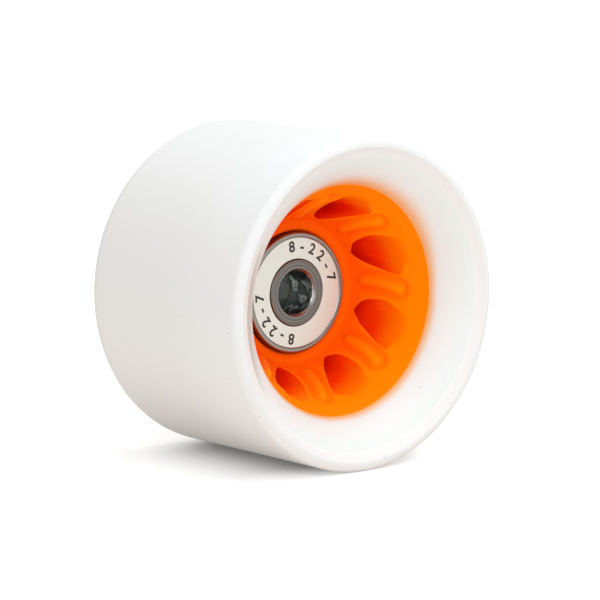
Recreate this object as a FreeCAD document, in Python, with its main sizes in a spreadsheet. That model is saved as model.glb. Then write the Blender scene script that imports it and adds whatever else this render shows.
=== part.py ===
import FreeCAD, Part
import Sketcher
import os
import re
from FreeCAD import Placement, Rotation, Vector
from math import acos, atan2, degrees, pi

# Roller skate wheel: a cast tyre on a moulded core, with two sealed ball bearings and a spacer between them.
# The wheel's axis is Y and the dished front faces -Y. The origin is the wheel's centre. Millimetres.

# Sizes that can be set one by one: alias, value, meaning.
SIZES = [
    # Tyre
    ("wheel_diameter", 60.0, "across the tread"),
    ("wheel_width", 44.0, "between the front and rear planes"),
    ("front_corner", 1.5, "radius of the tread's front edge"),
    ("rear_corner", 4.4, "radius of the tread's rear edge"),
    ("largest_round", 0.9, "that radius at most, as a share of the tyre's thickness"),
    ("lip_land", 0.3, "flat ring between the front edge and the leaning lip"),
    ("crest_inset", 3.7, "crease between the lip and the dish, inside the tread"),
    ("crest_depth", 1.34, "crease below the front plane"),
    ("dish_swell", 0.55, "dish's middle above a straight slope from the crease to the core"),
    # Core
    ("cone_width", 7.87, "cone of the core, from the boss out to the rim where the tyre's dish ends"),
    ("rim_depth", 7.25, "front edge of the core below the front plane"),
    ("rim_edge", 1.43, "front edge of the core, from the dish to the core's outside"),
    ("boss_wall", 2.0, "boss round the front bearing"),
    ("boss_round", 0.8, "rounded edge of the boss"),
    ("anchor_count", 3, "ribs that lock the tyre to the core"),
    ("anchor_height", 1.2, "anchor rib above the core's outside"),
    ("anchor_width", 3.0, "anchor rib along the axis"),
    ("shoulder_height", 1.4, "step that each outer ring is pressed against"),
    # Front pockets of the core, one between two spokes
    ("spoke_count", 8, "spokes"),
    ("pocket_angle", 22.5, "direction of the first pocket's middle, from +X"),
    ("pocket_floor", 6.2, "pocket's floor below the bearing's front face"),
    ("pocket_draft", 1.5, "lean of the pocket's walls in degrees"),
    ("pocket_rim_wall", 2.47, "from the pocket's outer wall to the rim"),
    ("apex_wall", 2.1, "from the boss to the middle of the inner corner"),
    ("apex_angle", 5.0, "inner corner from the pocket's middle, in degrees"),
    ("apex_share", 0.303, "radius of the inner corner, as a share of the pocket's reach"),
    ("fin_angle", 6.8, "leading corner from the pocket's middle, in degrees"),
    ("fin_share", 0.576, "radius of the leading corner, as a share of the pocket's reach"),
    ("tail_angle", 12.4, "trailing corner from the pocket's middle, in degrees"),
    ("tail_share", 0.136, "radius of the trailing corner, as a share of the pocket's reach"),
    # Raised oval on each spoke, in a shallow trough
    ("oval_middle", 0.4, "its middle, as a share of the way down the cone"),
    ("oval_share", 0.676, "its length, as a share of the cone's slope"),
    ("oval_width", 2.2, "across the spoke"),
    ("oval_height", 0.5, "above the cone"),
    ("oval_lean", 12.0, "lean across the spoke in degrees"),
    ("oval_shift", 3.0, "past the middle between two pockets, in degrees"),
    ("trough_margin", 0.7, "trough round the oval"),
    ("trough_depth", 0.45, "trough below the cone"),
    # Rear pockets of the core
    ("web_thickness", 3.3, "between the floors of the front and rear pockets"),
    ("rear_inner_wall", 1.2, "rear pocket outside the boss's radius"),
    ("rear_outer_wall", 4.4, "rear pocket inside the core's outside"),
    ("rear_round", 1.2, "radius of the pocket's corners"),
    ("rear_spoke", 3.4, "spoke between two rear pockets"),
    # Bearings
    ("bore_diameter", 8.0, "axle hole of the bearing"),
    ("bearing_diameter", 22.0, "outside of the bearing"),
    ("bearing_width", 7.0, "along the axis"),
    ("bearing_recess", 0.2, "rear bearing below the wheel's rear plane"),
    ("bearing_proud", 1.0, "bearing's face above the core's faces"),
    ("ring_round", 0.3, "rounded outer edges of the outer ring"),
    ("bore_bevel", 0.4, "bevel at the ends of the axle hole"),
    ("land_bevel", 0.12, "bevel beside the seal on both rings"),
    ("inner_land", 1.45, "inner ring's outside, inside the circle of balls"),
    ("outer_land", 1.5, "outer ring's inside, outside the circle of balls"),
    ("seal_wall", 0.95, "outer ring round the seal"),
    ("seal_seat", 1.0, "seal's seat below the ring's face"),
    ("ball_count", 7, "balls in each bearing"),
    ("ball_diameter", 3.969, "ball"),
    ("track_margin", 0.0855, "section of the ball tracks, beyond the ball's radius"),
    ("ball_clearance", 0.02, "between a ball and the bottom of a track"),
    ("cage_thickness", 2.1, "cage across, from its inside to its outside"),
    ("cage_gap", 0.12, "between the cage's closed side and the seal"),
    ("cage_mouth", 1.2, "open side of the cage from the balls' centres"),
    ("cage_clearance", 0.1, "between a ball and its pocket in the cage"),
    # Seals: a steel plate backed by moulded rubber
    ("plate_recess", 0.2, "plate below the ring's face"),
    ("plate_thickness", 0.35, "plate"),
    ("plate_gap", 0.2, "between the plate and the inner ring"),
    ("rubber_thickness", 0.2, "rubber behind the plate"),
    ("lip_clearance", 0.05, "between the rubber lip and the inner ring"),
    ("lip_recess", 0.05, "rubber lip below the plate"),
    # Spacer
    ("spacer_length", 10.0, "between the two inner rings"),
    ("spacer_wall", 1.35, "tube wall"),
    ("spacer_clearance", 0.05, "between the spacer and the axle"),
]

# Places along the axis, radii and directions that follow from the sizes.
PLACES = [
    ("front_plane", "-wheel_width / 2"),
    ("rear_plane", "wheel_width / 2"),
    ("tread", "wheel_diameter / 2"),
    ("lip", "tread - front_corner - lip_land"),
    ("crest", "tread - crest_inset"),
    ("crest_place", "front_plane + crest_depth"),
    ("rim_place", "front_plane + rim_depth"),
    ("seat", "bearing_diameter / 2"),
    ("shoulder", "seat - shoulder_height"),
    ("boss", "seat + boss_wall"),
    ("rim", "boss + cone_width"),
    ("core_outside", "rim + rim_edge"),
    ("dish_chord", "sqrt((crest - rim) ^ 2 + (rim_place - crest_place) ^ 2)"),
    ("dish_radius", "(dish_chord ^ 2 / 4 + dish_swell ^ 2) / (2 * dish_swell)"),
    ("anchor_top", "core_outside + anchor_height"),
    ("rear_edge_round", "min(rear_corner; (tread - core_outside) * largest_round)"),
    ("rear_face", "rear_plane - bearing_recess"),
    ("rear_shoulder", "rear_face - bearing_width"),
    ("front_shoulder", "rear_shoulder - spacer_length"),
    ("front_face", "front_shoulder - bearing_width"),
    ("rear_bearing_place", "rear_face - bearing_width / 2"),
    ("front_bearing_place", "front_face + bearing_width / 2"),
    ("boss_face", "front_face + bearing_proud"),
    ("core_rear", "rear_face - bearing_proud"),
    ("anchor_middle", "(rim_place + core_rear) / 2"),
    ("anchor_spacing", "(core_rear - rim_place) / (anchor_count + 1)"),
    ("floor_place", "front_face + pocket_floor"),
    ("floor_depth", "floor_place - front_plane"),
    ("pocket_reach", "rim - pocket_rim_wall"),
    ("apex_reach", "boss + apex_wall"),
    ("apex_round", "(pocket_reach - apex_reach) * apex_share"),
    ("fin_round", "(pocket_reach - apex_reach) * fin_share"),
    ("tail_round", "(pocket_reach - apex_reach) * tail_share"),
    ("fin_reach", "pocket_reach - fin_round"),
    ("tail_reach", "pocket_reach - tail_round"),
    ("cone_lean", "atan(cone_width / (boss_face - rim_place))"),
    ("oval_angle", "pocket_angle + 180 / spoke_count + oval_shift"),
    ("cone_slope", "sqrt(cone_width ^ 2 + (boss_face - rim_place) ^ 2)"),
    ("oval_length", "cone_slope * oval_share"),
    ("oval_reach", "boss + cone_width * oval_middle"),
    ("oval_place", "boss_face + (rim_place - boss_face) * oval_middle"),
    ("oval_section", "((oval_width / 2) ^ 2 + oval_height ^ 2) / (2 * oval_height)"),
    ("oval_sink", "oval_section - oval_height"),
    ("oval_half", "(oval_length - oval_width) / 2"),
    ("trough_side", "oval_width / 2 + trough_margin"),
    ("trough_section", "(trough_side ^ 2 + trough_depth ^ 2) / (2 * trough_depth)"),
    ("trough_sink", "trough_section - trough_depth"),
    ("rear_depth", "core_rear - floor_place - web_thickness"),
    ("rear_half_angle", "180 / spoke_count"),
    ("rear_side", "(rear_spoke / 2 + rear_round) / cos(rear_half_angle)"),
    ("rear_inner", "boss + rear_inner_wall + rear_round"),
    ("rear_outer", "core_outside - rear_outer_wall - rear_round"),
    ("rear_inner_half", "rear_inner * tan(rear_half_angle) - rear_side"),
    ("rear_outer_half", "rear_outer * tan(rear_half_angle) - rear_side"),
    ("axle_hole", "bore_diameter / 2"),
    ("pitch", "(bore_diameter + bearing_diameter) / 4"),
    ("half_bearing", "bearing_width / 2"),
    ("inner_outside", "pitch - inner_land"),
    ("outer_inside", "pitch + outer_land"),
    ("seal_outside", "seat - seal_wall"),
    ("seal_step", "half_bearing - seal_seat"),
    ("ball", "ball_diameter / 2"),
    ("track_radius", "ball + track_margin"),
    ("inner_track", "pitch - ball - ball_clearance + track_radius"),
    ("outer_track", "pitch + ball + ball_clearance - track_radius"),
    ("cage_pocket", "ball + cage_clearance"),
    ("cage_inside", "pitch - cage_thickness / 2"),
    ("cage_outside", "pitch + cage_thickness / 2"),
    ("plate_inside", "inner_outside + plate_gap"),
    ("plate_front", "half_bearing - plate_recess"),
    ("plate_back", "plate_front - plate_thickness"),
    ("rubber_inside", "inner_outside + lip_clearance"),
    ("rubber_back", "plate_back - rubber_thickness"),
    ("cage_back", "rubber_back - cage_gap"),
    ("lip_front", "plate_front - lip_recess"),
    ("spacer_inside", "axle_hole + spacer_clearance"),
    ("spacer_outside", "spacer_inside + spacer_wall"),
]

ALIASES = {entry[0] for entry in SIZES + PLACES}
AXIS = Vector(0, 1, 0)
UP = Vector(0, 0, 1)

doc = FreeCAD.newDocument("roller_skate_wheel")
sheet = doc.addObject("Spreadsheet::Sheet", "sizes")
parts = []


def fill_sheet():
    """Write the sizes as plain numbers and the places as formulas, each with its alias."""
    rows = [(alias, str(number), meaning) for alias, number, meaning in SIZES]
    rows += [(alias, "=" + formula, "follows from the sizes") for alias, formula in PLACES]
    for row, (alias, content, meaning) in enumerate(rows, start=1):
        sheet.set(f"A{row}", alias)
        sheet.set(f"B{row}", content)
        sheet.setAlias(f"B{row}", alias)
        sheet.set(f"C{row}", meaning)
    doc.recompute()


def measure(formula):
    """Return what a formula of sheet names is worth now."""
    worth = sheet.evalExpression(formula)
    return float(getattr(worth, "Value", worth))


def bind(thing, path, formula):
    """Tie a property of an object to a formula of sheet names."""
    spelled = re.sub(r"[a-z_]+", lambda word: ("sizes." if word[0] in ALIASES else "") + word[0], formula)
    thing.setExpression(path, spelled)


def new_body(label):
    """Start a sub-part whose label names its file."""
    body = doc.addObject("PartDesign::Body", label)
    body.Label = label
    parts.append(body)
    return body


def origin_feature(body, role):
    """Find one of the body's own origin planes or axes."""
    return next(feature for feature in body.Origin.OriginFeatures if feature.Role == role)


def new_sketch(body, name, plane):
    """Start a sketch on one of the body's origin planes."""
    sketch = body.newObject("Sketcher::SketchObject", name)
    sketch.AttachmentSupport = (origin_feature(body, plane), "")
    sketch.MapMode = "FlatFace"
    return sketch


def fix(sketch, kind, where, formula):
    """Add a dimension to a sketch and tie it to a formula."""
    index = sketch.addConstraint(Sketcher.Constraint(kind, *where, measure(formula)))
    bind(sketch, f"Constraints[{index}]", formula)


def polygon(sketch, corners, swell=None, radius=None):
    """Draw a closed outline through corners given as formulas, across and up.

    Its sides are straight. With a swell and a radius it goes clockwise, and its last side is an arc.
    """
    points = [Vector(measure(across), measure(up), 0) for across, up in corners]
    last = len(points) - 1
    for i in range(last):
        sketch.addGeometry(Part.LineSegment(points[i], points[i + 1]), False)
    first, end = points[0], points[last]
    if swell:
        away = Rotation(UP, -90).multVec(end - first).normalize()
        sketch.addGeometry(Part.Arc(first, (first + end) * 0.5 + away * measure(swell), end), False)
    else:
        sketch.addGeometry(Part.LineSegment(first, end), False)
    for i in range(last - 1):
        sketch.addConstraint(Sketcher.Constraint("Coincident", i, 2, i + 1, 1))
    sketch.addConstraint(Sketcher.Constraint("Coincident", last - 1, 2, last, 2))
    sketch.addConstraint(Sketcher.Constraint("Coincident", last, 1, 0, 1))
    for i, (across, up) in enumerate(corners):
        where = (-1, 1, i, 1) if i < last else (-1, 1, last, 2)
        fix(sketch, "DistanceX", where, across)
        fix(sketch, "DistanceY", where, up)
    if radius:
        fix(sketch, "Radius", (last,), radius)


def common_tangent(centre, radius, next_centre, next_radius):
    """Return the two ends of the outer tangent from one corner circle to the next, counter-clockwise."""
    way = next_centre - centre
    lean = acos((radius - next_radius) / way.Length)
    normal = Rotation(UP, -degrees(lean)).multVec(way.normalize())
    return centre + normal * radius, next_centre + normal * next_radius


def rounded_polygon(sketch, corners):
    """Draw a closed outline of round corners given as formulas, across, up and radius, counter-clockwise."""
    centres = [Vector(measure(across), measure(up), 0) for across, up, _ in corners]
    rounds = [measure(radius) for _, _, radius in corners]
    count = len(corners)
    sides = [common_tangent(centres[i], rounds[i], centres[(i + 1) % count], rounds[(i + 1) % count])
             for i in range(count)]
    for start, end in sides:
        sketch.addGeometry(Part.LineSegment(start, end), False)
    for i in range(count):
        arrival = sides[i - 1][1] - centres[i]
        departure = sides[i][0] - centres[i]
        circle = Part.Circle(centres[i], UP, rounds[i])
        ends = (atan2(arrival.y, arrival.x), atan2(departure.y, departure.x))
        sketch.addGeometry(Part.ArcOfCircle(circle, *ends), False)
    for i, (across, up, radius) in enumerate(corners):
        arc = count + i
        sketch.addConstraint(Sketcher.Constraint("Tangent", (i - 1) % count, 2, arc, 1))
        sketch.addConstraint(Sketcher.Constraint("Tangent", arc, 2, i, 1))
        fix(sketch, "DistanceX", (-1, 1, arc, 3), across)
        fix(sketch, "DistanceY", (-1, 1, arc, 3), up)
        fix(sketch, "Radius", (arc,), radius)


def must_shrink(body, before, name):
    """Stop the build where a cut took nothing away."""
    if body.Tip.Shape.Volume > before - 0.01:
        raise RuntimeError(f"{name} of {body.Label} cuts nothing")


def turned(body, name, corners, swell=None, radius=None):
    """Turn an outline, given by radius and place along the axis, round the wheel's axis."""
    sketch = new_sketch(body, name + "_outline", "XY_Plane")
    polygon(sketch, corners, swell, radius)
    solid = body.newObject("PartDesign::Revolution", name)
    solid.Profile = sketch
    solid.ReferenceAxis = (origin_feature(body, "Y_Axis"), [""])
    solid.Angle = 360
    doc.recompute()


def ball_track(body, name, centre):
    """Cut a ball track whose round section is centred at the given radius."""
    before = body.Tip.Shape.Volume
    sketch = new_sketch(body, name + "_section", "XY_Plane")
    middle = Vector(measure(centre), 0, 0)
    sketch.addGeometry(Part.Circle(middle, UP, measure("track_radius")), False)
    fix(sketch, "Radius", (0,), "track_radius")
    fix(sketch, "DistanceX", (-1, 1, 0, 3), centre)
    sketch.addConstraint(Sketcher.Constraint("PointOnObject", 0, 3, -1))
    track = body.newObject("PartDesign::Groove", name)
    track.Profile = sketch
    track.ReferenceAxis = (origin_feature(body, "Y_Axis"), [""])
    track.Angle = 360
    doc.recompute()
    must_shrink(body, before, name)


def circles(body, radius, places):
    """Name the circular edges of the body's solid at a radius and at the given places along the axis."""
    names = []
    for number, edge in enumerate(body.Tip.Shape.Edges, start=1):
        if isinstance(edge.Curve, Part.Circle) and abs(edge.Curve.Radius - measure(radius)) < 1e-4:
            if any(abs(edge.Curve.Center.y - measure(place)) < 1e-4 for place in places):
                names.append(f"Edge{number}")
    return names


def dress(body, kind, name, edges, size):
    """Round or bevel edges of the body's solid: kind is Fillet or Chamfer."""
    base = body.Tip
    feature = body.newObject("PartDesign::" + kind, name)
    feature.Base = (base, edges)
    bind(feature, "Radius" if kind == "Fillet" else "Size", size)
    doc.recompute()


def repeat_round(body, name, features, count):
    """Repeat features evenly round the wheel's axis."""
    pattern = body.newObject("PartDesign::PolarPattern", name)
    pattern.Originals = features
    pattern.Axis = (origin_feature(body, "Y_Axis"), [""])
    pattern.Angle = 360
    bind(pattern, "Occurrences", count)
    body.Tip = pattern
    doc.recompute()


def interface():
    """List the core's outside under the tyre, front to rear, with its anchor ribs."""
    corners = [("rim", "rim_place"), ("core_outside", "rim_place")]
    count = int(measure("anchor_count"))
    for i in range(count):
        middle = f"anchor_middle + anchor_spacing * {i - (count - 1) / 2}"
        corners += [
            ("core_outside", f"{middle} - anchor_width / 2"),
            ("anchor_top", f"{middle} - anchor_width / 2"),
            ("anchor_top", f"{middle} + anchor_width / 2"),
            ("core_outside", f"{middle} + anchor_width / 2"),
        ]
    corners.append(("core_outside", "core_rear"))
    return corners


def make_tyre():
    """Cast tyre with a deep dish at the front, which thins out over the core's edge."""
    body = new_body("tyre")
    outside = [
        ("core_outside", "rear_plane"),
        ("tread", "rear_plane"),
        ("tread", "front_plane"),
        ("lip", "front_plane"),
        ("crest", "crest_place"),
    ]
    turned(body, "cast_ring", interface() + outside, "dish_swell", "dish_radius")
    dress(body, "Fillet", "front_edge", circles(body, "tread", ["front_plane"]), "front_corner")
    dress(body, "Fillet", "rear_edge", circles(body, "tread", ["rear_plane"]), "rear_edge_round")


def capsule(body, kind, name, half_length, section, away):
    """Turn a stadium about its long axis, across the first spoke's cone, with its seam away from it."""
    sketch = new_sketch(body, name + "_outline", "XY_Plane")
    half = measure(half_length)
    radius = measure(section)
    ends = (Vector(half, 0, 0), Vector(-half, 0, 0))
    reach = Vector(half + radius, 0, 0)
    rise = Vector(0, radius, 0)
    sketch.addGeometry(Part.LineSegment(-reach, reach), False)
    sketch.addGeometry(Part.ArcOfCircle(Part.Circle(ends[0], UP, radius), 0, pi / 2), False)
    sketch.addGeometry(Part.LineSegment(ends[0] + rise, ends[1] + rise), False)
    sketch.addGeometry(Part.ArcOfCircle(Part.Circle(ends[1], UP, radius), pi / 2, pi), False)
    sketch.addConstraint(Sketcher.Constraint("Coincident", 0, 2, 1, 1))
    sketch.addConstraint(Sketcher.Constraint("Tangent", 1, 2, 2, 1))
    sketch.addConstraint(Sketcher.Constraint("Tangent", 2, 2, 3, 1))
    sketch.addConstraint(Sketcher.Constraint("Coincident", 3, 2, 0, 1))
    for line, point in ((0, 1), (0, 2), (1, 3), (3, 3)):
        sketch.addConstraint(Sketcher.Constraint("PointOnObject", line, point, -1))
    for arc, sign in ((1, ""), (3, "-")):
        fix(sketch, "Radius", (arc,), section)
        fix(sketch, "DistanceX", (-1, 1, arc, 3), f"{sign}({half_length})")
    spoke = "placement(vector(0, 0, 0), rotation(vector(0, 1, 0), -oval_angle))"
    cone = "placement(vector(oval_reach, oval_place, 0), rotation(vector(0, 0, 1), cone_lean))"
    lean = f"rotation(vector(1, 0, 0), oval_lean) * rotation(vector(0, 0, 1), {away})"
    sink = f"placement(vector(0, {name}_sink, 0), rotation(vector(0, 0, 1), 0))"
    bind(sketch, "AttachmentOffset", f"{spoke} * {cone} * placement(vector(0, 0, 0), {lean}) * {sink}")
    solid = body.newObject("PartDesign::" + kind, name)
    solid.Profile = sketch
    solid.ReferenceAxis = (sketch, ["H_Axis"])
    solid.Angle = 360
    doc.recompute()
    return solid


def spoke_oval(body):
    """Sink a shallow trough into the first spoke and raise a long oval from it."""
    before = body.Tip.Shape.Volume
    trough = capsule(body, "Groove", "trough", "oval_half", "trough_section", 90)
    must_shrink(body, before, "trough")
    oval = capsule(body, "Revolution", "oval", "oval_half", "oval_section", -90)
    return [trough, oval]


def pocket(body, name, corners, place, angle, length, forwards):
    """Cut a pocket of rounded outline from a place along the axis, forwards or rearwards."""
    before = body.Tip.Shape.Volume
    sketch = new_sketch(body, name + "_outline", "XZ_Plane")
    bind(sketch, "AttachmentOffset.Base.z", f"-({place})")
    bind(sketch, "AttachmentOffset.Rotation.Angle", f"{angle} * 1deg")
    rounded_polygon(sketch, corners)
    cut = body.newObject("PartDesign::Pocket", name)
    cut.Profile = sketch
    cut.Type = "Length"
    cut.Reversed = forwards
    bind(cut, "Length", length)
    bind(cut, "TaperAngle", "pocket_draft * 1deg")
    doc.recompute()
    must_shrink(body, before, name)
    return cut


def front_pocket(body):
    """Cut one swept pocket: a narrow inner corner, a tail that trails and a fin that leads."""
    corners = []
    for name, angle in (("apex", "apex_angle"), ("tail", "-tail_angle"), ("fin", "fin_angle")):
        corners.append((f"{name}_reach * cos({angle})", f"{name}_reach * sin({angle})", f"{name}_round"))
    return pocket(body, "front_pocket", corners, "floor_place", "pocket_angle", "floor_depth", True)


def rear_pocket(body):
    """Cut one straight pocket between two rear spokes, behind a front pocket."""
    corners = [
        ("rear_inner", "rear_inner_half", "rear_round"),
        ("rear_inner", "-rear_inner_half", "rear_round"),
        ("rear_outer", "-rear_outer_half", "rear_round"),
        ("rear_outer", "rear_outer_half", "rear_round"),
    ]
    floor = "floor_place + web_thickness"
    return pocket(body, "rear_pocket", corners, floor, "pocket_angle", "rear_depth", False)


def make_core():
    """Moulded core: a cone with swept pockets, straight pockets at the rear, and two bearing seats."""
    body = new_body("core")
    inside = [
        ("seat", "core_rear"),
        ("seat", "rear_shoulder"),
        ("shoulder", "rear_shoulder"),
        ("shoulder", "front_shoulder"),
        ("seat", "front_shoulder"),
        ("seat", "boss_face"),
        ("boss", "boss_face"),
    ]
    turned(body, "hub", interface() + inside)
    dress(body, "Fillet", "boss_edge", circles(body, "boss", ["boss_face"]), "boss_round")
    repeat_round(body, "spoke_ovals", spoke_oval(body), "spoke_count")
    repeat_round(body, "front_pockets", [front_pocket(body)], "spoke_count")
    repeat_round(body, "rear_pockets", [rear_pocket(body)], "spoke_count")


def make_spacer():
    """Tube that holds the two inner rings apart."""
    body = new_body("spacer")
    turned(body, "tube", [
        ("spacer_inside", "front_shoulder"),
        ("spacer_outside", "front_shoulder"),
        ("spacer_outside", "rear_shoulder"),
        ("spacer_inside", "rear_shoulder"),
    ])


def set_on_axis(body, end):
    """Put a bearing's piece in its place: the front one faces -Y, the rear one is turned to face +Y."""
    turn = 0 if end == "front" else 180
    body.Placement = Placement(Vector(0, 0, 0), Rotation(UP, turn))
    bind(body, "Placement.Base.y", f"{end}_bearing_place")


def make_outer_ring(end):
    """Outer ring with a ball track and a seat for a seal at each face."""
    body = new_body(f"{end}_outer_ring")
    half = [
        ("seat", "half_bearing"),
        ("seal_outside", "half_bearing"),
        ("seal_outside", "seal_step"),
        ("outer_inside", "seal_step"),
    ]
    mirrored = [(radius, "-" + place) for radius, place in reversed(half)]
    turned(body, "ring", half + mirrored)
    faces = ["half_bearing", "-half_bearing"]
    dress(body, "Fillet", "outer_edges", circles(body, "seat", faces), "ring_round")
    dress(body, "Chamfer", "seal_edges", circles(body, "seal_outside", faces), "land_bevel")
    ball_track(body, "track", "outer_track")
    set_on_axis(body, end)


def make_inner_ring(end):
    """Inner ring with the axle hole and a ball track."""
    body = new_body(f"{end}_inner_ring")
    turned(body, "ring", [
        ("axle_hole", "-half_bearing"),
        ("inner_outside", "-half_bearing"),
        ("inner_outside", "half_bearing"),
        ("axle_hole", "half_bearing"),
    ])
    faces = ["half_bearing", "-half_bearing"]
    dress(body, "Chamfer", "bore_edges", circles(body, "axle_hole", faces), "bore_bevel")
    dress(body, "Chamfer", "land_edges", circles(body, "inner_outside", faces), "land_bevel")
    ball_track(body, "track", "inner_track")
    set_on_axis(body, end)


def make_cage(end):
    """Crown cage: a ring behind the balls whose pockets snap over them from the rear."""
    body = new_body(f"{end}_cage")
    turned(body, "crown", [
        ("cage_inside", "-cage_mouth"),
        ("cage_outside", "-cage_mouth"),
        ("cage_outside", "cage_back"),
        ("cage_inside", "cage_back"),
    ])
    before = body.Tip.Shape.Volume
    hollow = body.newObject("PartDesign::SubtractiveSphere", "ball_pocket")
    # The sphere's poles and seam lie in the cage's openings, so that no wall of a pocket holds them.
    hollow.Placement = Placement(Vector(0, 0, 0), Rotation(AXIS, 90) * Rotation(UP, -90))
    bind(hollow, "Radius", "cage_pocket")
    bind(hollow, "Placement.Base.x", "pitch")
    doc.recompute()
    must_shrink(body, before, "ball_pocket")
    repeat_round(body, "ball_pockets", [hollow], "ball_count")
    set_on_axis(body, end)


def make_balls(end):
    """Balls spread evenly on the pitch circle, the first one in the cage's first pocket."""
    side = "" if end == "front" else "-"
    for i in range(int(measure("ball_count"))):
        sphere = doc.addObject("Part::Sphere", f"{end}_ball_{i + 1}")
        sphere.Label = f"{end}_ball_{i + 1}"
        bind(sphere, "Radius", "ball")
        bind(sphere, "Placement.Base.x", f"{side}pitch * cos(360 / ball_count * {i})")
        bind(sphere, "Placement.Base.y", f"{end}_bearing_place")
        bind(sphere, "Placement.Base.z", f"pitch * sin(360 / ball_count * {i})")
        parts.append(sphere)


def make_seal(end, side):
    """Seal at one face of a bearing: a steel plate on a rubber ring with a lip close to the inner ring."""
    way = "-" if side == "outer" else ""
    plate = new_body(f"{end}_{side}_seal_plate")
    turned(plate, "plate", [
        ("plate_inside", way + "plate_back"),
        ("seal_outside", way + "plate_back"),
        ("seal_outside", way + "plate_front"),
        ("plate_inside", way + "plate_front"),
    ])
    set_on_axis(plate, end)
    rubber = new_body(f"{end}_{side}_seal_lip")
    turned(rubber, "rubber", [
        ("rubber_inside", way + "rubber_back"),
        ("outer_inside", way + "rubber_back"),
        ("outer_inside", way + "seal_step"),
        ("seal_outside", way + "seal_step"),
        ("seal_outside", way + "plate_back"),
        ("plate_inside", way + "plate_back"),
        ("plate_inside", way + "lip_front"),
        ("rubber_inside", way + "lip_front"),
    ])
    set_on_axis(rubber, end)


def make_bearing(end):
    """One sealed ball bearing with its pieces apart."""
    make_outer_ring(end)
    make_inner_ring(end)
    make_cage(end)
    make_balls(end)
    make_seal(end, "outer")
    make_seal(end, "inner")


def check_parts():
    """Stop the build where an object failed or a sub-part isn't one valid solid."""
    for thing in doc.Objects:
        if "Invalid" in thing.State or "Error" in thing.State:
            raise RuntimeError(f"{thing.Label} failed: {thing.State}")
    for part in parts:
        shape = part.Shape
        if shape.isNull() or not shape.isValid() or len(shape.Solids) != 1:
            raise RuntimeError(f"{part.Label} isn't one valid solid")


def write_parts():
    """Write each sub-part to its own file."""
    os.makedirs("parts", exist_ok=True)
    for part in parts:
        part.Shape.exportStep(f"parts/{part.Label}.step")
        print(f"{part.Label}: {part.Shape.Volume:.2f} mm3")


fill_sheet()
make_tyre()
make_core()
make_spacer()
make_bearing("front")
make_bearing("rear")
doc.recompute()
check_parts()
write_parts()
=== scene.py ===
from bisect import bisect_left
from math import atan2, cos, degrees, exp, hypot, pi, radians, sin, tan

import bmesh
import bpy
from mathutils import Matrix, Quaternion, Vector


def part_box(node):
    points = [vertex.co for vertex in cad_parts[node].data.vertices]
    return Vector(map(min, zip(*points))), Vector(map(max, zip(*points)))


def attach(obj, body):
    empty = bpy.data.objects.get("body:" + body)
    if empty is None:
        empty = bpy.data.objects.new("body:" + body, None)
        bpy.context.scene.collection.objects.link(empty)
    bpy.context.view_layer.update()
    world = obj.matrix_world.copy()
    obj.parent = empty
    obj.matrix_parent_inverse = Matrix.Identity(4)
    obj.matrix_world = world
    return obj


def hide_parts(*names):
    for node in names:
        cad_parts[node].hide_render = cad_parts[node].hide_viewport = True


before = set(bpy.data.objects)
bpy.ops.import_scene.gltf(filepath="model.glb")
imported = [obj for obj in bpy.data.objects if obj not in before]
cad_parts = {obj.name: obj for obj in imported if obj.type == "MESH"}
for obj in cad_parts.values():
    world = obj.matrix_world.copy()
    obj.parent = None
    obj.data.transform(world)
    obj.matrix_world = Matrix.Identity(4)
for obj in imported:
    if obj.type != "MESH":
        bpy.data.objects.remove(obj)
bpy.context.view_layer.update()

bl_info = {
    "name": "Roller Skate Wheel",
    "version": (1, 0, 0),
    "blender": (4, 5, 0),
    "location": "3D View > Sidebar > Wheel",
    "description": "Dresses a roller skate wheel and its two ball bearings, and sets its stage",
    "category": "Object",
}

# The wheel turns about Y and its dished front faces -Y. Lengths are in metres.
MM = 0.001
TYRE_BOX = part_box("tyre")
BEARING_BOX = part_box("front_outer_ring")
# Equal sectors of the core, with a pocket each.
SECTORS = 8
HALF_SECTOR = pi / SECTORS
# Points nearer than this become one, in a whole piece and along a sector's seam.
MERGED, SEAM_MERGED = 0.002 * MM, 0.0005 * MM


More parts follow.
